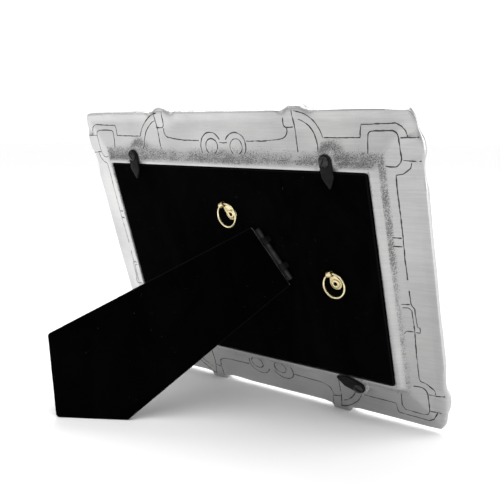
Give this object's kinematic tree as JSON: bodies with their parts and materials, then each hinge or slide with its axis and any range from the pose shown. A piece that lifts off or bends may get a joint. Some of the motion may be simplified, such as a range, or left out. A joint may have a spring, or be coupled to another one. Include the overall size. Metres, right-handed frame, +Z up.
{
  "type": "table photo frame",
  "caption": "Cast aluminium table photo frame seen leaning on its easel: velvet back board, hinged leg, turn buttons and ring hangers for either way up.",
  "frame": {"origin": "on the table, under the middle of the whole object's box, with the easel leg open", "axes": "+X along the width, towards the left as the back is seen; +Z up; -Y the way the picture faces, +Y the way the easel leg stands out behind"},
  "size_m": [0.2024, 0.104, 0.1548],
  "materials": {
    "cast_aluminium": "satin sand casting, darker and rough in the hollows",
    "glass": "clear",
    "print": "satin, blank",
    "lining_paper": "matte black",
    "board": "pressed fibre",
    "velvet": "short black pile",
    "hinge_steel": "blackened steel",
    "brass": "pale, polished",
    "black_latch": "satin black",
    "black_screw": "satin black, worn on the crown"
  },
  "bodies": {
    "frame": {"frame_casting": "cast_aluminium", "glass_pane": "glass", "photo_print": "print", "backing_lining": "lining_paper", "backing_board": "board", "backing_velvet": "velvet", "hinge_board_leaf": "hinge_steel", "hinge_pin": "hinge_steel", "hinge_board_rivets": "hinge_steel", "hanger_plate_top": "brass", "hanger_plate_side": "brass", "hanger_eyelet_top": "brass", "hanger_eyelet_side": "brass", "turn_button_screws": "black_screw"},
    "leg": {"easel_leg_core": "board", "easel_leg_velvet": "velvet", "hinge_leg_leaf": "hinge_steel", "hinge_leg_rivets": "hinge_steel"},
    "top_ring": {"hanger_ring_top": "brass"},
    "side_ring": {"hanger_ring_side": "brass"},
    "top_left_button": {"turn_button_top_left": "black_latch"},
    "top_right_button": {"turn_button_top_right": "black_latch"},
    "bottom_left_button": {"turn_button_bottom_left": "black_latch"},
    "bottom_right_button": {"turn_button_bottom_right": "black_latch"}
  },
  "joints": [
    {"name": "leg_hinge", "type": "hinge", "parent": "frame", "child": "leg", "pos_m": [-0.0231, -0.01118, 0.08403], "axis": [-0.5105, -0.2564, -0.8207], "range_deg": [0, 36.3]},
    {"name": "top_ring_swing", "type": "hinge", "parent": "frame", "child": "top_ring", "pos_m": [0.0038, -0.00464, 0.10629], "axis": [0.9063, -0.126, -0.4034], "range_deg": [-12, 160]},
    {"name": "side_ring_swing", "type": "hinge", "parent": "frame", "child": "side_ring", "pos_m": [-0.0526, -0.01371, 0.07728], "axis": [0.9397, -0.102, -0.3265], "range_deg": [-12, 160]},
    {"name": "top_left_button_pivot", "type": "hinge", "parent": "frame", "child": "top_left_button", "pos_m": [0.0587, 0.00128, 0.12927], "axis": [0, 0.9545, -0.2982], "range_deg": [-180, 180]},
    {"name": "top_right_button_pivot", "type": "hinge", "parent": "frame", "child": "top_right_button", "pos_m": [-0.0587, 0.00128, 0.12927], "axis": [0, 0.9545, -0.2982], "range_deg": [-180, 180]},
    {"name": "bottom_left_button_pivot", "type": "hinge", "parent": "frame", "child": "bottom_left_button", "pos_m": [0.0587, -0.03307, 0.01931], "axis": [0, 0.9545, -0.2982], "range_deg": [-180, 180]},
    {"name": "bottom_right_button_pivot", "type": "hinge", "parent": "frame", "child": "bottom_right_button", "pos_m": [-0.0587, -0.03307, 0.01931], "axis": [0, 0.9545, -0.2982], "range_deg": [-180, 180]}
  ]
}
